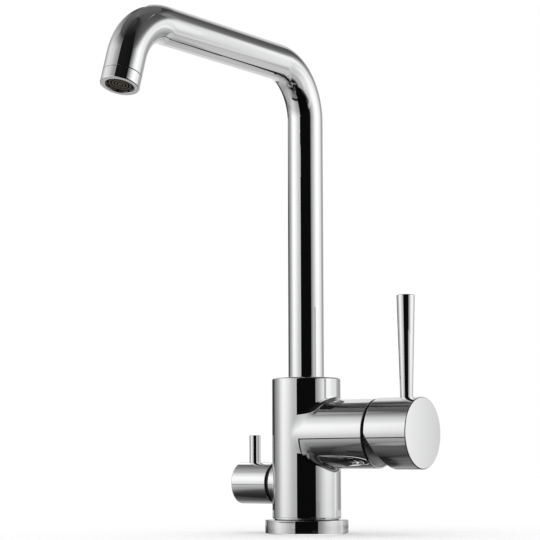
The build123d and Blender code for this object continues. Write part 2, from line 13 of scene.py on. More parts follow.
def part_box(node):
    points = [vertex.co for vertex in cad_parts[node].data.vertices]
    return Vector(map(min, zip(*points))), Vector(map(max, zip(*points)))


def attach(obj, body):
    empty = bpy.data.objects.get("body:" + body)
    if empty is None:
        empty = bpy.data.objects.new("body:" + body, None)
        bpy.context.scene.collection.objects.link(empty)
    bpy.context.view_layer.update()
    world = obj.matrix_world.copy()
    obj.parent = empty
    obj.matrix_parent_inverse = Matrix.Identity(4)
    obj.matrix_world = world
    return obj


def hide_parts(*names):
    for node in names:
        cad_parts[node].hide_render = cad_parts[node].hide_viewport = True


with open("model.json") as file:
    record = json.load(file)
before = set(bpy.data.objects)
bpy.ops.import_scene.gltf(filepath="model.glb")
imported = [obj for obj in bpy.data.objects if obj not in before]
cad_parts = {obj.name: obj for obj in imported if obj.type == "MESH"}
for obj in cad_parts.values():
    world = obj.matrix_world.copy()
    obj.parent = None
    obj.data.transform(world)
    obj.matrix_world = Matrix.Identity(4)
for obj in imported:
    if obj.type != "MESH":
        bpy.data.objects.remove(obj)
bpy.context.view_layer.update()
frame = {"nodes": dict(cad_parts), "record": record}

# Body casting: a round column with a thick side branch for the mixing cartridge and a flat boss for the
# dishwasher valve. It is cast in brass in one piece, ground, polished and plated with chrome.
body_low, body_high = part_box("main_body")
column_radius = body_high.y
column_foot = body_low.z
column_top = body_high.z
top_round = 0.0016
foot_round = 0.0020
dome_low, dome_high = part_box("dome_cover")
branch_axis = (dome_low.z + dome_high.z) / 2
branch_radius = (dome_high.z - dome_low.z) / 2
branch_end = body_high.x
branch_blend = 0.0030
side_blend = 0.0260
branch_edge = 0.0004
mouth_round = 0.0002
nut_thread_radius = 0.0200
nut_seat = 0.0438
chamber_radius = 0.0178
chamber_floor = 0.0240
knob_low, knob_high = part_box("valve_knob")
valve_axis = (knob_low.z + knob_high.z) / 2
boss_radius = 0.0139
boss_end = 0.0222
boss_steps = 24
valve_bore = 0.0085
valve_floor = 0.0050
glide_low, glide_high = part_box("spout_glide_ring")
glide_radius = glide_high.x
spout_bore = 0.01205
thrust_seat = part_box("spout_thrust_washer")[0].z
stop_low, stop_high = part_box("spout_stop_screw")
stop_height = (stop_low.z + stop_high.z) / 2
stop_radius = (stop_high.z - stop_low.z) / 2
hairline = 0.00005
block_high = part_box("inlet_block")[1]
pocket_radius = block_high.x + hairline
wall_spacing = 0.0022
wall_levels = 32
hole_steps = 32
x_way, y_way, z_way = np.eye(3)
origin = np.zeros(3)


def full_turn(first, steps):
    """Angles of one full turn in equal steps, from a first angle in degrees; the last falls on the first."""
    return np.radians(np.linspace(first, first + 360, steps + 1))


column_turns = full_turn(-110, 144)
branch_turns = full_turn(0, 180)


class Shade:
    """A socket of a material's node tree. Sums and products of shades and numbers add Math nodes."""

    def __init__(self, tree, socket=None):
        self.tree = tree
        self.socket = socket

    def node(self, kind, settings, sockets, output=0):
        """Adds any node: settings first, then values or links on its inputs; gives one of its outputs."""
        made = self.tree.nodes.new(kind)
        for name, value in settings.items():
            if name == "stops":
                self.stops(made.color_ramp, value)
            else:
                setattr(made, name, value)
        for name, value in sockets.items():
            if isinstance(value, Shade):
                self.tree.links.new(value.socket, made.inputs[name])
            else:
                made.inputs[name].default_value = value
        return Shade(self.tree, made.outputs[output])

    def stops(self, ramp, places):
        """Sets a ramp's stops from pairs of a place and a brightness."""
        for index, (place, value) in enumerate(places):
            stop = ramp.elements[index] if index < 2 else ramp.elements.new(place)
            stop.position = place
            stop.color = (value, value, value, 1.0)

    def math(self, operation, first, second):
        """A Math node of two shades or numbers."""
        return self.node("ShaderNodeMath", {"operation": operation}, {0: first, 1: second})

    def __add__(self, other):
        return self.math("ADD", self, other)

    def __mul__(self, other):
        return self.math("MULTIPLY", self, other)

    def __sub__(self, other):
        return self.math("SUBTRACT", self, other)

    def __rsub__(self, other):
        return self.math("SUBTRACT", other, self)

    __radd__ = __add__
    __rmul__ = __mul__


def finish(name):
    """A new material and its shader: gives the material, a shade to build from and the Principled node."""
    material = bpy.data.materials.new(name)
    material.use_nodes = True
    tree = material.node_tree
    return material, Shade(tree), tree.nodes["Principled BSDF"]


def noise(shade, scale, detail, stretch=(1.0, 1.0, 1.0)):
    """Cloudy noise in the object's own metres, drawn out along an axis by its stretch."""
    place = shade.node("ShaderNodeTexCoord", {}, {}, "Object")
    place = shade.node("ShaderNodeMapping", {}, {"Vector": place, "Scale": stretch})
    sockets = {"Vector": place, "Scale": scale, "Detail": detail, "Roughness": 0.55}
    return shade.node("ShaderNodeTexNoise", {}, sockets, "Fac")


def tint(shade, mask, low, high):
    """A colour between two colours by a mask."""
    sockets = {"Factor": mask, 6: (*low, 1.0), 7: (*high, 1.0)}
    return shade.node("ShaderNodeMix", {"data_type": "RGBA"}, sockets, 2)


def feed(shade, shader, name, value):
    """Links a shade to one of the shader's inputs."""
    shade.tree.links.new(value.socket, shader.inputs[name])


def hold(shader, values):
    """Sets constants on a shader's inputs."""
    for name, value in values.items():
        shader.inputs[name].default_value = value


def emboss(shade, shader, height, strength, depth):
    """Lets a height, as a share of a depth in metres, tilt the surface's normals by a strength."""
    sockets = {"Strength": strength, "Distance": depth, "Height": height}
    feed(shade, shader, "Normal", shade.node("ShaderNodeBump", {}, sockets))


def chrome_plate(name, clouding):
    """Polished chrome plate: a mirror with a faint cloud of polishing haze and a slight waviness."""
    material, shade, shader = finish(name)
    haze = noise(shade, scale=140.0, detail=3.0)
    wave = noise(shade, scale=45.0, detail=1.0)
    feed(shade, shader, "Base Color", tint(shade, haze, (0.905, 0.908, 0.915), (0.935, 0.937, 0.942)))
    feed(shade, shader, "Roughness", haze * clouding + 0.012)
    emboss(shade, shader, wave, strength=0.015, depth=0.0002)
    hold(shader, {"Metallic": 1.0})
    return material


def faced(points, normals, triangles):
    """Turns each triangle so that its corners run anticlockwise seen from where its normals point."""
    corners = points[triangles]
    across = np.cross(corners[:, 1] - corners[:, 0], corners[:, 2] - corners[:, 0])
    backward = (across * normals[triangles].sum(axis=1)).sum(axis=1) < 0
    triangles = np.where(backward[:, None], triangles[:, ::-1], triangles)
    return points, normals, triangles


def grid(points, normals):
    """A patch from a grid of points, rows by columns: each cell is cut in two along a diagonal."""
    normals = np.broadcast_to(normals, points.shape)
    rows, columns = points.shape[:2]
    index = np.arange(rows * columns).reshape(rows, columns)
    a, b = index[:-1, :-1].ravel(), index[1:, :-1].ravel()
    d, c = index[:-1, 1:].ravel(), index[1:, 1:].ravel()
    triangles = np.concatenate([np.column_stack([a, b, c]), np.column_stack([a, c, d])])
    return faced(points.reshape(-1, 3), normals.reshape(-1, 3), triangles)


def outline(corners, roundings, arc_points=9):
    """Stretches of a polyline with rounded corners, as (points, normals): straight runs and arcs in turn.

    Normals stand on the right of the way. An arc's centre lies its radius inside both of its runs, and its
    points are the centre plus the radius times the turning normal.
    """
    corners = np.array(corners, float)
    ways = np.diff(corners, axis=0)
    ways /= np.linalg.norm(ways, axis=1)[:, None]
    rights = np.column_stack([ways[:, 1], -ways[:, 0]])
    starts, ends = corners[:-1].copy(), corners[1:].copy()
    arcs = []
    for index, radius in enumerate(roundings):
        cross = ways[index, 0] * ways[index + 1, 1] - ways[index, 1] * ways[index + 1, 0]
        turn = math.atan2(cross, ways[index] @ ways[index + 1])
        cut = radius * math.tan(abs(turn) / 2)
        ends[index] -= ways[index] * cut
        starts[index + 1] += ways[index + 1] * cut
        side = math.copysign(1.0, turn)
        first = math.atan2(rights[index, 1], rights[index, 0])
        angles = np.linspace(first, first + turn, arc_points)
        normals = np.column_stack([np.cos(angles), np.sin(angles)])
        centre = ends[index] - side * radius * rights[index]
        arcs.append((centre + side * radius * normals, normals) if radius else None)
    stretches = []
    for index in range(len(ways)):
        run = np.array([starts[index], ends[index]])
        stretches.append((run, np.array([rights[index], rights[index]])))
        if index < len(arcs) and arcs[index]:
            stretches.append(arcs[index])
    return stretches


def turned(stretches, foot, along, side, turns):
    """A turned shape: each stretch, as radius and height, is carried round an axis from a side direction."""
    around = np.cos(turns)[:, None] * side + np.sin(turns)[:, None] * np.cross(along, side)
    patches = []
    for points, normals in stretches:
        rings = foot + points[:, 1, None, None] * along + points[:, 0, None, None] * around
        patches.append(grid(rings, normals[:, 1, None, None] * along + normals[:, 0, None, None] * around))
    return patches


def inside(loop, points):
    """Which points a closed loop holds: those with an odd number of the loop's edges to their right."""
    (x0, y0), (x1, y1) = loop.T[:, :, None], np.roll(loop, -1, axis=0).T[:, :, None]
    x, y = points.T
    spans = (y0 > y) != (y1 > y)
    rise = np.where(y1 == y0, 1.0, y1 - y0)
    return ((spans & (x < x0 + (y - y0) / rise * (x1 - x0))).sum(axis=0) % 2).astype(bool)


def pierced(border, holes, spacing):
    """Cuts a flat sheet with holes into triangles: the outlines with a grid of points let in between them.

    A grid point is kept where the sheet is solid and no outline is nearer than half the spacing. The cut
    itself is made in millimetres.
    """
    low, high = border.min(axis=0), border.max(axis=0)
    counts = np.maximum(((high - low) / spacing).astype(int), 2)
    columns, rows = (np.linspace(low[i], high[i], counts[i] + 1)[1:-1] for i in (0, 1))
    fill = np.stack(np.meshgrid(columns, rows), axis=-1).reshape(-1, 2)
    loops = [border, *holes]
    rim = np.concatenate(loops)
    nearest = np.linalg.norm(fill[:, None] - rim[None], axis=2).min(axis=1)
    solid = inside(border, fill) & (nearest > spacing / 2)
    for hole in holes:
        solid &= ~inside(hole, fill)
    points = np.concatenate([rim, fill[solid]])
    edges = []
    for loop in loops:
        first = len(edges)
        edges += [(first + i, first + (i + 1) % len(loop)) for i in range(len(loop))]
    flat = [Vector(point) for point in (points * 1000).tolist()]
    _, _, faces, sources, _, _ = geometry.delaunay_2d_cdt(flat, edges, [], 0, 1e-5)
    sources = np.array([source[0] for source in sources])
    triangles = sources[np.array(faces)]
    middles = points[triangles].mean(axis=1)
    solid = inside(border, middles)
    for hole in holes:
        solid &= ~inside(hole, middles)
    return points, triangles[solid]


def rolled(sheet, radius, foot, along, side):
    """Rolls a flat sheet, as length round and height, into a tube's wall round an axis."""
    points, triangles = sheet
    turns = points[:, 0] / radius
    around = np.cos(turns)[:, None] * side + np.sin(turns)[:, None] * np.cross(along, side)
    return faced(foot + points[:, 1, None] * along + radius * around, around, triangles)


def band(turns, radius, low, high, levels=12):
    """Border of an unrolled wall: along its lower edge, up one side, back along the upper edge and down."""
    round_low = np.column_stack([turns * radius, np.broadcast_to(low, turns.shape)])
    round_high = np.column_stack([turns * radius, np.broadcast_to(high, turns.shape)])
    steps = np.linspace(0, 1, levels)[1:-1, None]
    right = round_low[-1] + steps * (round_high[-1] - round_low[-1])
    left = round_high[0] + steps * (round_low[0] - round_high[0])
    return np.concatenate([round_low, right, round_high[::-1], left])


def placed(name, mesh, material):
    """An object in the scene that shows a mesh in a material."""
    mesh.materials.append(material)
    piece = bpy.data.objects.new(name, mesh)
    bpy.context.scene.collection.objects.link(piece)
    return piece


def skin(name, patches, material, body, slot, *nodes):
    """One piece from its patches, which rides on a body in place of the named nodes.

    Points that fall together to a micrometre are welded, triangles that shrink to a line at a pole are
    dropped, and each corner keeps the normal of its own patch.
    """
    points = np.concatenate([patch[0] for patch in patches])
    normals = np.concatenate([patch[1] for patch in patches])
    starts = np.cumsum([0] + [len(patch[0]) for patch in patches])
    triangles = np.concatenate([patch[2] + start for patch, start in zip(patches, starts)])
    places = np.round(points * 1e6).astype(np.int64)
    _, kept, welded = np.unique(places, axis=0, return_index=True, return_inverse=True)
    corners = welded.reshape(-1)[triangles]
    whole = (corners != np.roll(corners, 1, axis=1)).all(axis=1)
    mesh = bpy.data.meshes.new(name)
    mesh.from_pydata(points[kept], [], corners[whole])
    mesh.shade_smooth()
    mesh.normals_split_custom_set(normals[triangles[whole]].reshape(-1, 3))
    piece = placed(name, mesh, material)
    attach(piece, body)
    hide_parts(*nodes)


def branch_fillet(arc_points=21):
    """Rounding between branch and column, as left by a ball that rolls along both and swells at the sides.

    The ball's centre stays one ball radius off both walls. Each arc runs from the branch to the column
    about that centre. Normals are square to the arcs and to the lines across them.
    """
    blend = branch_blend + side_blend * np.sin(branch_turns) ** 6
    away = column_radius + blend
    reach = branch_radius + blend
    y, z = reach * np.sin(branch_turns), reach * np.cos(branch_turns)
    x = np.sqrt(away ** 2 - y ** 2)
    centre = np.column_stack([x, y, z + branch_axis])
    at_branch = np.column_stack([0 * x, -np.sin(branch_turns), -np.cos(branch_turns)])
    at_column = np.column_stack([-x / away, -y / away, 0 * x])
    angle = np.arccos((at_branch * at_column).sum(axis=1))[None, :, None]
    share = np.linspace(0, 1, arc_points)[:, None, None]
    rest = 1 - share
    way = (np.sin(rest * angle) * at_branch + np.sin(share * angle) * at_column) / np.sin(angle)
    along = np.cos(share * angle) * at_column - np.cos(rest * angle) * at_branch
    points = centre + blend[:, None] * way
    across = np.roll(points[:, :-1], -1, axis=1) - np.roll(points[:, :-1], 1, axis=1)
    across = np.concatenate([across, across[:, :1]], axis=1)
    normals = np.cross(across, along)
    inward = np.sign((normals * way).sum(axis=2))[..., None]
    normals *= -inward / np.linalg.norm(normals, axis=2)[..., None]
    return points, normals


def boss_loop():
    """Outline that boss and valve bore leave on the column, as (y, height off the valve's axis).

    Beyond the chord where the boss's end face meets the column, it follows the boss; between the chords,
    where the column stands proud of that face, it follows the bore.
    """
    chord = math.sqrt(column_radius ** 2 - boss_end ** 2)
    boss_turn = math.acos(chord / boss_radius)
    bore_turn = math.acos(chord / valve_bore)
    outer = np.linspace(-boss_turn, boss_turn, boss_steps)
    inner = np.linspace(bore_turn, math.pi - bore_turn, boss_steps)
    right = boss_radius * np.column_stack([np.cos(outer), np.sin(outer)])
    top = valve_bore * np.column_stack([np.cos(inner), np.sin(inner)])
    return right, top


fillet, fillet_normals = branch_fillet()
foot_x, foot_y, foot_z = fillet[-1, :-1].T
branch_loop = np.column_stack([np.arctan2(foot_y, foot_x) * column_radius, foot_z])
boss_right, bore_top = boss_loop()
boss_outline = np.concatenate([boss_right, bore_top, -boss_right, -bore_top])
boss_hole = np.column_stack([
    (math.pi - np.arcsin(boss_outline[:, 0] / column_radius)) * column_radius,
    boss_outline[:, 1] + valve_axis,
])
stop_turns = np.linspace(0, 2 * math.pi, hole_steps + 1)[:-1]
stop_hole = np.column_stack([
    (math.pi / 2 - np.arcsin(stop_radius * np.cos(stop_turns) / column_radius)) * column_radius,
    stop_height + stop_radius * np.sin(stop_turns),
])
column_border = band(
    column_turns, column_radius, column_foot + foot_round, column_top - top_round, wall_levels
)
column_sheet = pierced(column_border, [branch_loop, boss_hole, stop_hole], wall_spacing)
column_wall = rolled(column_sheet, column_radius, origin, z_way, x_way)
column_crown = outline(
    [
        (column_radius, column_top - top_round), (column_radius, column_top), (glide_radius, column_top),
        (glide_radius, glide_low.z), (spout_bore, glide_low.z), (spout_bore, thrust_seat), (0, thrust_seat),
    ],
    [top_round, mouth_round, 0, 0, 0],
)
column_sole = outline(
    [
        (0, block_high.z), (pocket_radius, block_high.z), (pocket_radius, column_foot),
        (column_radius, column_foot), (column_radius, column_foot + foot_round),
    ],
    [0, 0, foot_round],
)
branch_rows = np.stack([fillet[0], fillet[0]])
branch_rows[1, :, 0] = branch_end - branch_edge
branch_out = np.column_stack([0 * branch_turns, np.sin(branch_turns), np.cos(branch_turns)])
branch_mouth = outline(
    [
        (branch_radius, branch_end - branch_edge), (branch_radius, branch_end),
        (nut_thread_radius, branch_end), (nut_thread_radius, nut_seat), (chamber_radius, nut_seat),
        (chamber_radius, chamber_floor), (0, chamber_floor),
    ],
    [branch_edge, 0, 0, 0, 0],
)
branch_foot = np.array([0, 0, branch_axis])


def bore_strip(mouth):
    """A strip of the valve bore's wall from a stretch of its mouth to its floor, and the floor's sector."""
    floor = mouth * (0, 1, 1) - (valve_floor, 0, 0)
    middle = np.broadcast_to((-valve_floor, 0, valve_axis), floor.shape)
    inward = (middle - floor) / valve_bore
    wall = grid(np.stack([mouth, floor]), inward)
    sector = grid(np.stack([floor, middle]), -x_way)
    points, normals, triangles = wall
    return (
        np.concatenate([points, sector[0]]),
        np.concatenate([normals, sector[1]]),
        np.concatenate([triangles, sector[2] + len(points)]),
    )


def beside_valve(x, y, height):
    """Points at x, y and a height off the valve's axis."""
    return np.column_stack([x + 0 * y, y, height + valve_axis])


def boss_patches():
    """The boss's two wall strips, from the column to its end, its two end faces and the bore's strips."""
    chord_turn = math.acos(boss_right[0, 0] / valve_bore)
    turns = np.linspace(chord_turn, -chord_turn, boss_steps)
    inner = valve_bore * np.column_stack([np.cos(turns), np.sin(turns)])
    patches = []
    for side in (1, -1):
        y, height = side * boss_right.T
        at_column = beside_valve(-np.sqrt(column_radius ** 2 - y ** 2), y, height)
        at_end = beside_valve(-boss_end, y, height)
        out = np.column_stack([0 * y, y, height]) / boss_radius
        patches.append(grid(np.stack([at_column, at_end]), out))
        face = side * np.concatenate([boss_right, inner])
        rim = [Vector((*point, 0)) for point in face.tolist()]
        triangles = np.array(geometry.tessellate_polygon([rim]))
        points = beside_valve(-boss_end, *face.T)
        patches.append(faced(points, np.broadcast_to(-x_way, points.shape), triangles))
        patches.append(bore_strip(beside_valve(-boss_end, *side * inner.T)))
        y, height = side * bore_top.T
        patches.append(bore_strip(beside_valve(-np.sqrt(column_radius ** 2 - y ** 2), y, height)))
    return patches


def stop_pocket():
    """The stop screw's hole: its wall from the column's surface inwards, closed at half the screw's depth."""
    x, z = stop_radius * np.cos(stop_turns), stop_radius * np.sin(stop_turns)
    x, z = np.append(x, x[0]), np.append(z, z[0])
    mouth = np.column_stack([x, np.sqrt(column_radius ** 2 - x ** 2), z + stop_height])
    floor = np.column_stack([x, 0 * x + (stop_low.y + stop_high.y) / 2, z + stop_height])
    middle = np.broadcast_to((0, floor[0, 1], stop_height), floor.shape)
    wall = grid(np.stack([mouth, floor]), (middle - floor) / stop_radius)
    return [wall, grid(np.stack([floor, middle]), y_way)]


chrome = chrome_plate("chrome_plate", 0.03)
skin(
    "body_casting",
    [column_wall, grid(fillet, fillet_normals), grid(branch_rows, branch_out)]
    + turned(column_crown, origin, z_way, x_way, column_turns)
    + turned(column_sole, origin, z_way, x_way, column_turns)
    + turned(branch_mouth, branch_foot, x_way, z_way, -branch_turns)
    + boss_patches()
    + stop_pocket(),
    chrome, "tap_body", "chrome", "main_body",
)

# Base ring: a turned brass ring, chromed, that stands on the worktop and spreads the column's foot over the
# hole. Its edges are broken by a small rounding, and a rubber gasket lies in a groove below.
base_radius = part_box("base_ring")[1].x
base_edge = 0.0007
gasket_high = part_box("base_gasket")[1]
gasket_width = 0.0045
gasket_inner = gasket_high.x - gasket_width
ring_turns = full_turn(0, 192)
base_outline = outline(
    [
        (pocket_radius, 0), (gasket_inner, 0), (gasket_inner, gasket_high.z),
        (gasket_high.x, gasket_high.z), (gasket_high.x, 0), (base_radius, 0), (base_radius, column_foot),
        (pocket_radius, column_foot), (pocket_radius, 0),
    ],
    [0, 0, 0, 0, base_edge, base_edge, 0],
)
skin(
    "base_ring_turned", turned(base_outline, origin, z_way, x_way, ring_turns),
    chrome, "tap_body", "chrome", "base_ring",
)

# Spout: a drawn brass tube, bent twice on a mandrel and chromed. It stands in the column's mouth, runs
# level over the sink and turns down to the outlet, leaning outwards.
tube_low, tube_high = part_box("spout_tube")
tube_radius = tube_high.x
tube_wall = 0.0015
arm_height = tube_high.z - tube_radius
riser_bend = 0.0360
outlet_bend = 0.0375
outlet_lean = math.radians(18.0)
outlet_way = np.array([0, -math.sin(outlet_lean), -math.cos(outlet_lean)])
outlet_reach = 0.2035
outlet_drop = 0.0452
outlet_end = np.array([0, -outlet_reach, arm_height - outlet_drop])
sleeve_length = 0.0077
seam_edge = 0.00030
seam_gap = 0.00022
tube_turns = full_turn(0, 96)


def spout_line(end, bend_points=49):
    """Stations of the spout's centre line as (points, ways): straight runs joined by tangent arcs.

    At each corner the arc's tangents are its radius times the tangent of half the turn long.
    """
    corner = outlet_end - outlet_way * (arm_height - outlet_end[2]) / -outlet_way[2]
    corners = np.array([(0, 0, tube_low.z), (0, 0, arm_height), corner, end])
    ways = np.diff(corners, axis=0)
    ways /= np.linalg.norm(ways, axis=1)[:, None]
    points, directions = [corners[:1]], [ways[:1]]
    for index, radius in enumerate([riser_bend, outlet_bend]):
        before, after = ways[index], ways[index + 1]
        turn = math.acos(before @ after)
        start = corners[index + 1] - before * radius * math.tan(turn / 2)
        inward = after - before * (before @ after)
        inward /= np.linalg.norm(inward)
        angles = np.linspace(0, turn, bend_points)[:, None]
        directions.append(np.cos(angles) * before + np.sin(angles) * inward)
        points.append(start + radius * (np.sin(angles) * before + (1 - np.cos(angles)) * inward))
    return np.concatenate([*points, [end]]), np.concatenate([*directions, ways[-1:]])


def swept(stations, ways, radius, outward):
    """A round tube along a centre line in the plane x = 0: circles square to the line at each station."""
    beside = np.cross(ways, x_way)
    around = np.cos(tube_turns)[None, :, None] * x_way + np.sin(tube_turns)[None, :, None] * beside[:, None]
    return grid(stations[:, None] + radius * around, outward * around)


def tube_end(place, way):
    """The tube's cut end: a flat ring between bore and outside, with its outer edge just broken."""
    rim = outline(
        [(tube_radius, -2 * seam_edge), (tube_radius, 0), (tube_radius - tube_wall, 0)], [seam_edge]
    )
    return turned(rim, place, way, x_way, tube_turns)


sleeve_start = outlet_end - outlet_way * sleeve_length
tube_stop = sleeve_start - outlet_way * seam_gap
stations, ways = spout_line(tube_stop - outlet_way * 2 * seam_edge)
stations[0, 2] += 2 * seam_edge
bore_stations, bore_ways = spout_line(tube_stop)
skin(
    "spout_bent_tube",
    [swept(stations, ways, tube_radius, 1.0)]
    + [swept(bore_stations, bore_ways, tube_radius - tube_wall, -1.0)]
    + tube_end(tube_stop, outlet_way)
    + tube_end(bore_stations[0], -z_way),
    chrome, "spout", "chrome", "spout_tube",
)

# Aerator sleeve: the chromed end of the spout, screwed into the tube behind a fine seam. Its mouth is a
# flat polished ring round the dark insert.
mouth_radius = 0.00885
mouth_depth = 0.0097
mouth_edge = 0.00045
sleeve_edge = 0.0007
spigot_length = 0.0060
spigot_end = sleeve_length + spigot_length
spigot_radius = tube_radius - tube_wall
sleeve_bore = 0.0070
sleeve_outline = outline(
    [
        (sleeve_bore, mouth_depth), (mouth_radius, mouth_depth), (mouth_radius, 0), (tube_radius, 0),
        (tube_radius, sleeve_length), (spigot_radius, sleeve_length), (spigot_radius, spigot_end),
        (sleeve_bore, spigot_end), (sleeve_bore, mouth_depth),
    ],
    [0, mouth_edge, sleeve_edge, seam_edge, 0, 0, 0],
)
skin(
    "aerator_sleeve_turned",
    turned(sleeve_outline, outlet_end, -outlet_way, x_way, tube_turns),
    chrome, "spout", "chrome", "aerator_sleeve",
)

# Dome cover: a pressed and chromed ring, screwed into the branch's mouth over the cartridge's nut. Its dome
# is part of a sphere about the lever's pivot, so that the hub can tilt over it.
pivot = 0.0490
dome_radius = 0.0236
dome_wall = 0.0015
dome_hole = 0.0150
flange_start = 0.0566
flange_edge = 0.00012
dome_face = 0.0572
dark_step = 0.0002
skirt_radius = 0.01995


def pivot_arc(radius, first, last, outward, arc_points=25):
    """A stretch of a circle about the lever's pivot, from one distance off the axis to another."""
    turns = np.linspace(math.asin(first / radius), math.asin(last / radius), arc_points)
    normals = np.column_stack([np.sin(turns), np.cos(turns)])
    return radius * normals + (0, pivot), outward * normals


def cover_plate_and_painted_shade(name):
    """The cover's finish: satin chrome on the dome, and a painted shade, dark and dull, on the flange in the
    gap at the branch.

    The border between chrome and painted shade is a plane square to the axis, which shifts outwards above
    the axis and inwards at the bottom, where the flange is left chrome too.
    """
    material, shade, shader = finish(name)
    haze = noise(shade, scale=140.0, detail=3.0)
    place = shade.node("ShaderNodeTexCoord", {}, {}, "Object")
    x, z = (shade.node("ShaderNodeSeparateXYZ", {}, {"Vector": place}, axis) for axis in "XZ")
    sockets = {"Value": z, "From Min": 0.060, "From Max": 0.080, "To Max": 0.001}
    above = shade.node("ShaderNodeMapRange", {}, sockets)
    sockets = {"Value": z, "From Min": 0.045, "From Max": 0.050, "To Min": -0.0009, "To Max": 0.0}
    below = shade.node("ShaderNodeMapRange", {}, sockets)
    # The painted shade: dark, dull and not metallic inside this border, chrome outside it.
    outside_painted_shade = shade.math("GREATER_THAN", x - above - below, dome_face + dark_step)
    feed(shade, shader, "Base Color", tint(shade, outside_painted_shade, (0.006, 0.006, 0.006), (0.92, 0.922, 0.928)))
    feed(shade, shader, "Metallic", outside_painted_shade)
    feed(shade, shader, "Roughness", outside_painted_shade * -0.28 + (haze * 0.06 + 0.56))
    hold(shader, {"Specular IOR Level": 0.1})
    return material


dome_lining = dome_radius - dome_wall
dome_foot = math.sqrt(dome_radius ** 2 - (dome_face - pivot) ** 2)
lining_foot = skirt_radius - dome_wall
lining_end = pivot + math.sqrt(dome_lining ** 2 - lining_foot ** 2)
skirt_start = dome_low.x
dome_outline = outline(
    [
        (lining_foot, lining_end), (lining_foot, skirt_start), (skirt_radius, skirt_start),
        (skirt_radius, flange_start), (branch_radius, flange_start), (branch_radius, dome_face),
        (dome_foot, dome_face),
    ],
    [0, 0, 0, flange_edge, flange_edge],
)
dome_mouth = outline(
    [
        (dome_hole, pivot + math.sqrt(dome_radius ** 2 - dome_hole ** 2)),
        (dome_hole, pivot + math.sqrt(dome_lining ** 2 - dome_hole ** 2)),
    ],
    [],
)
dome_outline += [pivot_arc(dome_radius, dome_foot, dome_hole, 1.0)]
dome_outline += [(dome_mouth[0][0], -dome_mouth[0][1])]
dome_outline += [pivot_arc(dome_lining, dome_hole, lining_foot, -1.0)]
# The cover's flange in the gap at the branch carries a painted shade.
skin(
    "dome_cover_pressed",
    turned(dome_outline, branch_foot, x_way, z_way, branch_turns),
    cover_plate_and_painted_shade("dome_plate_and_painted_shade"), "tap_body", "chrome", "dome_cover",
)

# Lever hub: a thick brass cap, turned, cut slanting below so that it can tilt, then polished and chromed.
# It is clamped on the cartridge's stem by a set screw from below; its end disc is flat and bare.
hub_low, hub_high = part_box("handle_hub")
hub_radius = hub_high.y
hub_start = hub_low.x
hub_end = hub_high.x
hub_edge = 0.0008
rim_edge = 0.0005
cup_radius = 0.0240
cut_slope = math.tan(math.radians(27.0))
rod_low, rod_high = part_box("lever_rod")
rod_x = (rod_low.x + rod_high.x) / 2
screw_low, screw_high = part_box("hub_screw")
screw_radius = (screw_high.x - screw_low.x) / 2
screw_sunk = 0.001
rod_foot_radius = 0.00410
rod_root = 0.013
rod_shoulder = rod_low.z + rod_root
hub_spacing = 0.0018
hub_turns = full_turn(-90, 180)


def hub_rim(cup_points=25, edge_points=9):
    """The hub's cup, slanted rim and rounded rim edge, each as a grid of meridians, and the wall's start.

    Along a meridian the rim is the line x = start + slope times distance off the axis, sloping only below
    the axis. It runs from the cup's sphere about the pivot to the outer wall, where a small curve takes
    it over.
    """
    lift = np.cos(hub_turns)
    slope = cut_slope * np.maximum(-lift, 0)
    gap = hub_start - pivot
    square = 1 + slope ** 2
    inner = (np.sqrt((slope * gap) ** 2 + square * (cup_radius ** 2 - gap ** 2)) - slope * gap) / square
    around = np.column_stack([0 * lift, -np.sin(hub_turns), lift])
    polar = np.linspace(0, 1, cup_points)[:, None] * np.arcsin(inner / cup_radius)
    side, ahead = np.sin(polar)[..., None], np.cos(polar)[..., None]
    cup = branch_foot + (pivot + cup_radius * ahead) * x_way + cup_radius * side * around
    cup_normals = -(ahead * x_way + side * around)
    rim_normal = np.where(lift[:, None] < 0, [-1, 0, -cut_slope], [-1, 0, 0])
    rim_normal = rim_normal / np.linalg.norm(rim_normal, axis=1)[:, None]
    ends = np.stack([inner, 0 * inner + hub_radius - rim_edge])
    rim = branch_foot + (hub_start + slope * ends)[..., None] * x_way + ends[..., None] * around
    share = np.linspace(0, 1, edge_points)[:, None]
    off = hub_radius - rim_edge * (1 - share) ** 2
    x = hub_start + slope * off + rim_edge * share ** 2
    edge = branch_foot + x[..., None] * x_way + (off + 0 * x)[..., None] * around
    edge_normals = (1 - share)[..., None] * rim_normal + share[..., None] * around
    edge_normals /= np.linalg.norm(edge_normals, axis=-1)[..., None]
    patches = [grid(cup, cup_normals), grid(rim, rim_normal), grid(edge, edge_normals)]
    return patches, hub_start + slope * hub_radius + rim_edge


def cross_hole(radius, place, wall_radius, turn):
    """Outline of a round hole across a tube's wall, unrolled: the hole's circle bent round the wall."""
    angles = np.linspace(0, 2 * math.pi, hole_steps + 1)[:-1]
    across = np.arcsin(radius * np.sin(angles) / wall_radius) + turn
    return np.column_stack([across * wall_radius, place + radius * np.cos(angles)])


def cross_pocket(radius, place, height, wall_radius, up, floor):
    """Wall and floor of a round hole into a tube lying along x, from above if up is 1, from below if -1."""
    angles = np.linspace(0, 2 * math.pi, hole_steps + 1)
    x, y = place + radius * np.cos(angles), up * radius * np.sin(angles)
    mouth = np.column_stack([x, y, height + up * np.sqrt(wall_radius ** 2 - y ** 2)])
    bottom = np.column_stack([x, y, np.full_like(x, floor)])
    middle = np.broadcast_to((place, 0, floor), bottom.shape)
    return [
        grid(np.stack([mouth, bottom]), (middle - bottom) / radius),
        grid(np.stack([bottom, middle]), np.array([0, 0, up])),
    ]


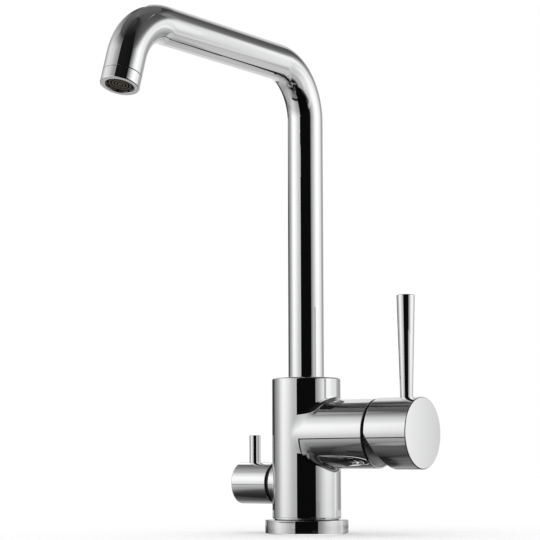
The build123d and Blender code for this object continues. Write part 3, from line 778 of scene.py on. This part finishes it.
rim_patches, wall_start = hub_rim()
hub_border = band(hub_turns, hub_radius, wall_start, hub_end - hub_edge)
hub_holes = [
    cross_hole(rod_foot_radius + hairline, rod_x, hub_radius, 0.0),
    cross_hole(screw_radius, rod_x, hub_radius, math.pi),
]
hub_cap = outline([(hub_radius, hub_end - hub_edge), (hub_radius, hub_end), (0, hub_end)], [hub_edge])
skin(
    "lever_hub_turned",
    rim_patches
    + [rolled(pierced(hub_border, hub_holes, hub_spacing), hub_radius, branch_foot, x_way, z_way)]
    + turned(hub_cap, branch_foot, x_way, z_way, hub_turns)
    + cross_pocket(rod_foot_radius + hairline, rod_x, branch_axis, hub_radius, 1, rod_shoulder)
    + cross_pocket(screw_radius, rod_x, branch_axis, hub_radius, -1, screw_low.z + screw_sunk),
    chrome, "lever", "chrome", "handle_hub",
)

# Lever rod: a slim brass rod that widens upwards, turned and chromed, screwed into the hub's top by its
# threaded root. Its top edge is softly rounded.
rod_top_radius = 0.00600
rod_edge = 0.0006
rod_thread_radius = 0.0030
rod_outline = outline(
    [
        (0, rod_low.z), (rod_thread_radius, rod_low.z), (rod_thread_radius, rod_shoulder),
        (rod_foot_radius, rod_shoulder), (rod_top_radius, rod_high.z), (0, rod_high.z),
    ],
    [0, 0, 0, rod_edge],
)
rod_foot = np.array([rod_x, 0, 0])
skin(
    "lever_rod_turned", turned(rod_outline, rod_foot, z_way, x_way, tube_turns),
    chrome, "lever", "chrome", "lever_rod",
)

# Dishwasher knob: a round brass cap over the valve's headwork, turned and chromed, with a set screw below
# and an upright pin to turn it by.
knob_radius = knob_high.y
knob_start = -knob_high.x
knob_end = -knob_low.x
knob_edge = 0.0008
knob_rim = 0.0003
cavity_radius = 0.0116
cavity_end = 0.0345
pin_low, pin_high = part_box("valve_pin")
pin_x = (pin_low.x + pin_high.x) / 2
pin_radius = (pin_high.x - pin_low.x) / 2
pin_edge = 0.0004
pin_root = 0.0060
pin_shoulder = pin_low.z + pin_root
pin_thread_radius = 0.0025
knob_screw_low, knob_screw_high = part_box("valve_knob_screw")
knob_screw_radius = (knob_screw_high.x - knob_screw_low.x) / 2
valve_foot = np.array([0, 0, valve_axis])
knob_spacing = 0.0015
knob_turns = full_turn(-90, 144)
skirt_low, skirt_high = knob_start + 2 * knob_rim, knob_end - knob_edge
knob_outline = outline(
    [
        (0, cavity_end), (cavity_radius, cavity_end), (cavity_radius, knob_start),
        (knob_radius, knob_start), (knob_radius, skirt_low),
    ],
    [0, 0, knob_rim],
)
knob_cap = outline([(knob_radius, skirt_high), (knob_radius, knob_end), (0, knob_end)], [knob_edge])
knob_border = band(knob_turns, knob_radius, skirt_low, skirt_high)
knob_holes = [
    cross_hole(pin_radius + hairline, -pin_x, knob_radius, 0.0),
    cross_hole(knob_screw_radius, -pin_x, knob_radius, math.pi),
]
skin(
    "dishwasher_knob_turned",
    turned(knob_outline + knob_cap, valve_foot, -x_way, z_way, knob_turns)
    + [rolled(pierced(knob_border, knob_holes, knob_spacing), knob_radius, valve_foot, -x_way, z_way)]
    + cross_pocket(pin_radius + hairline, pin_x, valve_axis, knob_radius, 1, pin_shoulder)
    + cross_pocket(knob_screw_radius, pin_x, valve_axis, knob_radius, -1, knob_screw_low.z + screw_sunk),
    chrome, "dishwasher_knob", "chrome", "valve_knob",
)
pin_outline = outline(
    [
        (0, pin_low.z), (pin_thread_radius, pin_low.z), (pin_thread_radius, pin_shoulder),
        (pin_radius, pin_shoulder), (pin_radius, pin_high.z), (0, pin_high.z),
    ],
    [0, 0, 0, pin_edge],
)
pin_foot = np.array([pin_x, 0, 0])
skin(
    "dishwasher_pin_turned", turned(pin_outline, pin_foot, z_way, x_way, tube_turns),
    chrome, "dishwasher_knob", "chrome", "valve_pin",
)

# Inner works: brass headwork, nut, stem and inlet block, steel screws, ceramic discs, moulded plastic guides
# and rubber rings. They keep the shapes of the frame and each get the finish of what they are made of.
grain_depth = 0.0001
ridge_pitch = 0.0019
ridge_edge = 0.00045
insert_radius = mouth_radius - hairline
ridge_place = insert_radius - ridge_edge - ridge_pitch / 4


def metal(name, low, high, roughness, spread, stretch):
    """Bare turned metal: colour and roughness follow fine lines left by the tool."""
    material, shade, shader = finish(name)
    lines = noise(shade, scale=900.0, detail=4.0, stretch=stretch)
    feed(shade, shader, "Base Color", tint(shade, lines, low, high))
    feed(shade, shader, "Roughness", lines * spread + roughness)
    emboss(shade, shader, lines, strength=0.08, depth=grain_depth)
    hold(shader, {"Metallic": 1.0})
    return material


def moulded(name, low, high, roughness, spread, grain, strength):
    """Moulded or sintered stuff: a cloudy colour over a fine grain that also roughens the surface."""
    material, shade, shader = finish(name)
    cloud = noise(shade, scale=120.0, detail=3.0)
    fine = noise(shade, scale=grain, detail=5.0)
    feed(shade, shader, "Base Color", tint(shade, cloud, low, high))
    feed(shade, shader, "Roughness", fine * spread + roughness)
    emboss(shade, shader, fine, strength, grain_depth)
    return material


def ringed(name, low, high):
    """The insert's moulding: grooves and ridges painted into the colour in rings about the outlet's axis,
    darker in the grooves and lighter on the ridges.

    The distance off the axis is the length of the cross product of the axis and the place from the outlet.
    """
    material, shade, shader = finish(name)
    place = shade.node("ShaderNodeTexCoord", {}, {}, "Object")
    place = shade.node("ShaderNodeVectorMath", {"operation": "SUBTRACT"}, {0: place, 1: outlet_end})
    arm = shade.node("ShaderNodeVectorMath", {"operation": "CROSS_PRODUCT"}, {0: place, 1: outlet_way})
    off = shade.node("ShaderNodeVectorMath", {"operation": "LENGTH"}, {0: arm}, "Value")
    ridges = shade.math("SINE", (off - ridge_place) * (2 * math.pi / ridge_pitch), 0.0) * 0.5 + 0.5
    fine = noise(shade, scale=1800.0, detail=4.0)
    feed(shade, shader, "Base Color", tint(shade, ridges * (fine * 0.6 + 0.5), low, high))
    feed(shade, shader, "Roughness", fine * 0.2 + 0.35)
    emboss(shade, shader, fine, strength=0.15, depth=grain_depth)
    return material


finishes = {
    "brass": metal(
        "turned_brass", (0.62, 0.46, 0.20), (0.78, 0.62, 0.34),
        roughness=0.22, spread=0.18, stretch=(1.0, 1.0, 6.0),
    ),
    "steel": metal(
        "screw_steel", (0.46, 0.47, 0.48), (0.66, 0.67, 0.68),
        roughness=0.25, spread=0.20, stretch=(4.0, 1.0, 4.0),
    ),
    "rubber": moulded(
        "seal_rubber", (0.018, 0.018, 0.019), (0.035, 0.034, 0.034),
        roughness=0.55, spread=0.25, grain=2200.0, strength=0.25,
    ),
    "dark_plastic": moulded(
        "dark_moulding", (0.006, 0.005, 0.005), (0.014, 0.012, 0.011),
        roughness=0.38, spread=0.20, grain=1800.0, strength=0.15,
    ),
    "pale_plastic": moulded(
        "pale_moulding", (0.74, 0.74, 0.71), (0.82, 0.82, 0.79),
        roughness=0.35, spread=0.20, grain=1600.0, strength=0.12,
    ),
    "ceramic": moulded(
        "ground_ceramic", (0.84, 0.83, 0.79), (0.92, 0.91, 0.87),
        roughness=0.12, spread=0.12, grain=2600.0, strength=0.05,
    ),
    "chrome": chrome,
}
for entry in frame["record"]["subparts"]:
    materials = frame["nodes"][entry["node"]].data.materials
    materials.clear()
    materials.append(finishes[entry["material_slot"]])
insert_materials = frame["nodes"]["aerator_insert"].data.materials
insert_materials[0] = ringed("ringed_moulding", (0.005, 0.004, 0.004), (0.075, 0.058, 0.042))

# Studio: a pale floor under white light. Round the tap stand soft panels, with a black card towards the
# camera and dim cards overhead and on the table, some of them glossy; only reflections show these cards.
camera_bearing = math.radians(32.759)
far_wall = 2.0
upper_wall = 1.99
low_wall = 1.98
near_wall = 1.0
flag_wall = 0.98
lip_wall = 0.049
lip_height = 0.0087
ceiling = 3.1
table_top = 0.0004
table_second = 0.0005
table_third = 0.0006
table_gloss = 1.6


def stage_piece(name, patch, material):
    """A piece of the studio from a patch; it isn't part of the tap."""
    points, _, triangles = patch
    mesh = bpy.data.meshes.new(name)
    mesh.from_pydata(points, [], triangles)
    piece = placed(name, mesh, material)
    return piece


def card(name, distances, heights, round_glow, far_glow, gloss=0.0, columns=97):
    """A card round the tap's axis that only reflections show, with a faint light of its own.

    It runs between two distances, two heights and two bearings in degrees from the camera's, to the right
    when positive. Its light is a ramp by bearing times a ramp by height, or by distance if it lies flat;
    a ramp gives a brightness for each place, from the card's one edge to the other.
    """
    first, last = min(round_glow), max(round_glow)
    low, high = min(far_glow), max(far_glow)
    turns = camera_bearing + np.radians(np.linspace(first, last, columns))
    around = np.column_stack([np.sin(turns), -np.cos(turns), 0 * turns])
    rings = np.array(distances)[:, None, None] * around + np.array(heights)[:, None, None] * z_way
    material, shade, shader = finish(name + "_light")
    middle = camera_bearing + math.radians((first + last) / 2)
    place = shade.node("ShaderNodeTexCoord", {}, {}, "Object")
    x, y, z = (shade.node("ShaderNodeSeparateXYZ", {}, {"Vector": place}, axis) for axis in "XYZ")
    ahead = x * math.sin(middle) - y * math.cos(middle)
    beside = x * math.cos(middle) + y * math.sin(middle)
    bearing = shade.math("ARCTAN2", beside, ahead) * (180 / math.pi / (last - first)) + 0.5
    reach = shade.math("POWER", x * x + y * y, 0.5) if heights[0] == heights[1] else z
    round_stops = [((angle - first) / (last - first), value) for angle, value in round_glow.items()]
    far_stops = [((level - low) / (high - low), value) for level, value in far_glow.items()]
    by_bearing = shade.node("ShaderNodeValToRGB", {"stops": round_stops}, {"Fac": bearing})
    share = (reach - low) * (1 / (high - low))
    by_reach = shade.node("ShaderNodeValToRGB", {"stops": far_stops}, {"Fac": share})
    feed(shade, shader, "Emission Color", by_bearing * by_reach)
    hold(shader, {"Emission Strength": 1.0, "Base Color": (0.0, 0.0, 0.0, 1.0), "Specular IOR Level": 0.0})
    hold(shader, {"Coat Weight": float(bool(gloss)), "Coat IOR": gloss or 1.5, "Coat Roughness": 0.02})
    material.cycles.emission_sampling = "NONE"
    piece = stage_piece(name, grid(rings, z_way), material)
    for ray in ("camera", "diffuse", "transmission", "shadow"):
        setattr(piece, "visible_" + ray, False)


def standing(name, distance, round_glow, by_height):
    """An upright card at one distance, as wide and as high as its ramps."""
    card(name, (distance, distance), (min(by_height), max(by_height)), round_glow, by_height)


def lying(name, height, round_glow, by_distance, gloss=0.0):
    """A flat card at one height, as wide and as deep as its ramps."""
    card(name, (min(by_distance), max(by_distance)), (height, height), round_glow, by_distance, gloss)


standing(
    "left_panel", far_wall,
    {
        -135: 0.22, -118: 0.36, -105: 0.55, -95: 0.86, -82: 1.05, -65: 0.88, -53: 0.68, -43: 0.56,
        -32.6: 0.54,
    },
    {
        -2.40: 0.60, -0.60: 0.68, -0.16: 0.72, -0.07: 0.80, 0.17: 0.96, 0.42: 1.08, 0.85: 1.12, 1.04: 1.08,
        1.30: 0.90, 1.72: 0.70, 1.97: 0.60, 2.35: 0.36, 2.87: 0.20, 3.10: 0.14,
    },
)
standing(
    "left_upper_panel", upper_wall,
    {-150: 0.35, -132: 0.52, -108: 0.83, -92: 0.85},
    {0.90: 0.80, 1.20: 1.0, 1.60: 0.92, 2.00: 0.65, 2.38: 0.50, 3.05: 0.38},
)
standing(
    "left_low_panel", low_wall,
    {-165: 0.46, -150: 0.34, -135: 0.40, -120: 0.45, -100: 0.52},
    {-2.40: 1.10, -1.20: 1.0, -0.40: 0.95, -0.15: 0.60},
)
standing(
    "front_card", far_wall,
    {-32.6: 1.0, 44: 1.0},
    {-1.20: 0.003, 1.20: 0.004, 1.90: 0.010, 3.10: 0.010},
)
right_glow = {
    30.5: 0.30, 39: 0.43, 46: 0.59, 53: 0.76, 60: 0.90, 70: 1.03, 82: 1.03, 91: 0.93, 98: 0.84, 104: 0.82,
}
standing(
    "right_panel", near_wall, right_glow,
    {-0.60: 0.70, 0.0: 0.78, 0.13: 0.96, 0.15: 0.97},
)
standing(
    "right_middle_panel", near_wall,
    {30.5: 0.05, 33: 0.10, 38: 0.24, 45: 0.40, 52: 0.54, 60: 0.70, 68: 0.90, 75: 1.02, 92: 1.0, 104: 0.84},
    {0.15: 1.0, 0.30: 1.06, 0.50: 1.10},
)
standing(
    "right_high_panel", near_wall, right_glow,
    {
        0.50: 1.08, 0.60: 1.08, 0.68: 1.0, 0.76: 0.70, 0.82: 0.40, 0.87: 0.23, 1.02: 0.115, 1.38: 0.09,
        1.75: 0.085,
    },
)
standing("right_flag", flag_wall, {29: 0.0, 35: 0.02}, {0.15: 1.0, 1.75: 1.0})
standing(
    "far_right_panel", far_wall,
    {104: 0.82, 109: 0.77, 113: 0.90, 114.9: 0.93, 116.7: 0.68, 119: 0.60, 126: 0.50, 131: 0.40, 150: 0.30},
    {
        -1.20: 0.70, -0.30: 0.80, 0.0: 0.97, 0.60: 1.08, 0.90: 1.05, 1.09: 0.78, 1.28: 0.38, 1.48: 0.27,
        2.00: 0.26, 2.24: 0.22, 2.60: 0.14, 3.10: 0.10,
    },
)
standing(
    "rear_panel", far_wall,
    {150: 0.20, 157: 0.55, 168: 0.60, 176: 0.76, 190: 0.80},
    {-1.20: 0.75, 0.0: 0.90, 0.70: 1.00, 1.70: 1.00, 2.20: 0.50, 3.10: 0.20},
)
standing(
    "left_rear_panel", far_wall,
    {190: 5.0, 194: 2.0, 202: 1.0, 225: 0.7},
    {-1.20: 0.06, 0.48: 0.06, 0.68: 0.45, 1.50: 0.45, 2.10: 0.12, 3.10: 0.03},
)
lying(
    "overhead_front", ceiling,
    {-32.6: 1.0, 28: 1.0},
    {0.0: 0.06, 0.6: 0.05, 1.3: 0.022, 2.0: 0.010},
)
lying(
    "overhead_rest", ceiling,
    {
        28: 0.28, 52: 0.42, 70: 0.95, 115: 1.15, 128: 1.40, 170: 1.50, 205: 1.70, 260: 1.18, 300: 0.85,
        315: 0.60, 327.4: 0.32,
    },
    {0.0: 0.085, 2.0: 0.085},
)
lying(
    "table_near_front", table_top,
    {-40: 0.30, -30: 0.80, -22: 0.90, -5: 1.0, 25: 1.0},
    {0.0285: 0.020, 0.048: 0.024, 0.060: 0.060, 0.078: 0.070, 0.092: 0.040, 0.100: 0.004, 0.115: 0.002},
    table_gloss,
)
lying(
    "table_near_right", table_top,
    {25: 0.6, 42: 2.4, 70: 3.5, 90: 4.5, 107: 6.0, 150: 6.0},
    {0.0285: 0.004, 0.048: 0.008, 0.054: 0.045, 0.072: 0.055, 0.086: 0.002, 0.115: 0.002},
    table_gloss,
)
lying(
    "table_near_rear", table_top,
    {150: 3.5, 180: 4.0, 219: 6.5, 228: 4.8, 239: 2.0, 250: 0.5},
    {0.0285: 0.035, 0.055: 0.045, 0.065: 0.055, 0.115: 0.055},
    table_gloss,
)
lying(
    "table_near_left", table_top,
    {250: 1.0, 285: 1.0, 310: 0.45, 320: 0.30},
    {0.0285: 0.001, 0.074: 0.002, 0.084: 0.06, 0.094: 0.16, 0.105: 0.24, 0.115: 0.28},
    table_gloss,
)
lying("table_front", table_top, {-32: 1.0, 45: 1.0}, {0.115: 0.002, 2.0: 0.002}, table_gloss)
lying(
    "table_right", table_top,
    {45: 0.10, 50: 0.38, 70: 0.43, 112: 0.46},
    {0.115: 0.002, 0.155: 0.02, 0.187: 0.50, 0.22: 1.0, 0.42: 1.0},
    table_gloss,
)
lying(
    "table_rear", table_top,
    {
        112: 0.52, 122: 0.52, 130: 0.40, 137: 0.36, 150: 0.46, 158: 0.50, 166: 0.42, 178: 0.40, 187: 0.54,
        205: 0.45, 220: 0.38,
    },
    {0.115: 0.50, 0.17: 0.80, 0.20: 1.0, 0.27: 1.0},
)
lying(
    "table_far", table_top,
    {112: 0.50, 118: 0.56, 133: 0.58, 175: 0.52, 190: 0.50, 220: 0.34},
    {0.27: 0.9, 0.32: 1.0, 0.60: 1.0},
)
lying(
    "table_left_rear", table_top,
    {220: 0.34, 230: 0.42, 248: 0.47},
    {0.115: 0.40, 0.16: 1.0, 0.36: 1.0},
    table_gloss,
)
lying(
    "table_left_side", table_top,
    {248: 0.47, 265: 0.46, 275: 0.42},
    {0.115: 0.65, 0.15: 1.0, 0.25: 1.0},
    table_gloss,
)
lying(
    "table_left", table_second,
    {-85: 0.38, -70: 0.24, -40: 0.18, -34: 0.20, -26: 0.27},
    {0.115: 0.5, 0.14: 0.8, 0.17: 1.0, 0.25: 1.0},
    table_gloss,
)
lying(
    "table_hub", table_third,
    {-30: 0.17, -24: 0.26, -16: 0.26, -10: 0.10, -6: 0.02},
    {0.092: 0.35, 0.098: 0.85, 0.118: 1.0, 0.126: 0.8, 0.140: 0.1},
    table_gloss,
)
standing("table_lip", lip_wall, {-23.4: 1.0, 10: 1.0}, {table_third: 0.003, lip_height: 0.003})
lying(
    "table_gap", table_top,
    {-100: 0.50, -82: 0.50, -76: 0.02, -32: 0.02},
    {0.25: 1.0, 0.32: 1.0},
)

floor_size = 6.0
floor_points = floor_size * np.array([[[-1, -1, 0], [-1, 1, 0]], [[1, -1, 0], [1, 1, 0]]], float)
floor_material, floor_shade, floor_shader = finish("pale_floor")
floor_cloud = noise(floor_shade, scale=30.0, detail=4.0)
floor_colour = tint(floor_shade, floor_cloud, (0.90, 0.90, 0.90), (0.93, 0.93, 0.93))
feed(floor_shade, floor_shader, "Base Color", floor_colour)
hold(floor_shader, {"Roughness": 0.9, "Specular IOR Level": 0.0})
hold(floor_shader, {"Emission Color": (1.0, 1.0, 1.0, 1.0), "Emission Strength": 0.10})
stage_piece("floor", grid(floor_points, z_way), floor_material).visible_glossy = False

world = bpy.data.worlds.new("white_surround")
bpy.context.scene.world = world
world.use_nodes = True
hold(world.node_tree.nodes["Background"], {"Color": (1.0, 1.0, 1.0, 1.0), "Strength": 1.0})

bpy.context.scene.view_settings.view_transform = "Standard"

# Camera: a long lens low on the right of the spout, tipped up a little and turned slightly to the left of
# the column, as the photograph was taken.
camera_distance = 1.2473
camera_height = 0.0476
lens_yaw = math.radians(1.117)
lens_pitch = math.radians(5.947)
lens_roll = math.radians(-0.144)
lens_mm = 122.9
sensor_mm = 36.0
bearing = camera_bearing + lens_yaw
forward = Vector((
    -math.sin(bearing) * math.cos(lens_pitch),
    math.cos(bearing) * math.cos(lens_pitch),
    math.sin(lens_pitch),
))
level_right = Vector((math.cos(bearing), math.sin(bearing), 0.0))
level_up = level_right.cross(forward)
right = level_right * math.cos(lens_roll) + level_up * math.sin(lens_roll)
up = level_up * math.cos(lens_roll) - level_right * math.sin(lens_roll)
place = Vector((
    camera_distance * math.sin(camera_bearing),
    -camera_distance * math.cos(camera_bearing),
    camera_height,
))
camera_data = bpy.data.cameras.new("camera")
camera_data.lens = lens_mm
camera_data.sensor_width = sensor_mm
camera_data.clip_start = 0.05
camera = bpy.data.objects.new("camera", camera_data)
camera.matrix_world = Matrix.Translation(place) @ Matrix((right, up, -forward)).transposed().to_4x4()
bpy.context.scene.collection.objects.link(camera)
bpy.context.scene.camera = camera
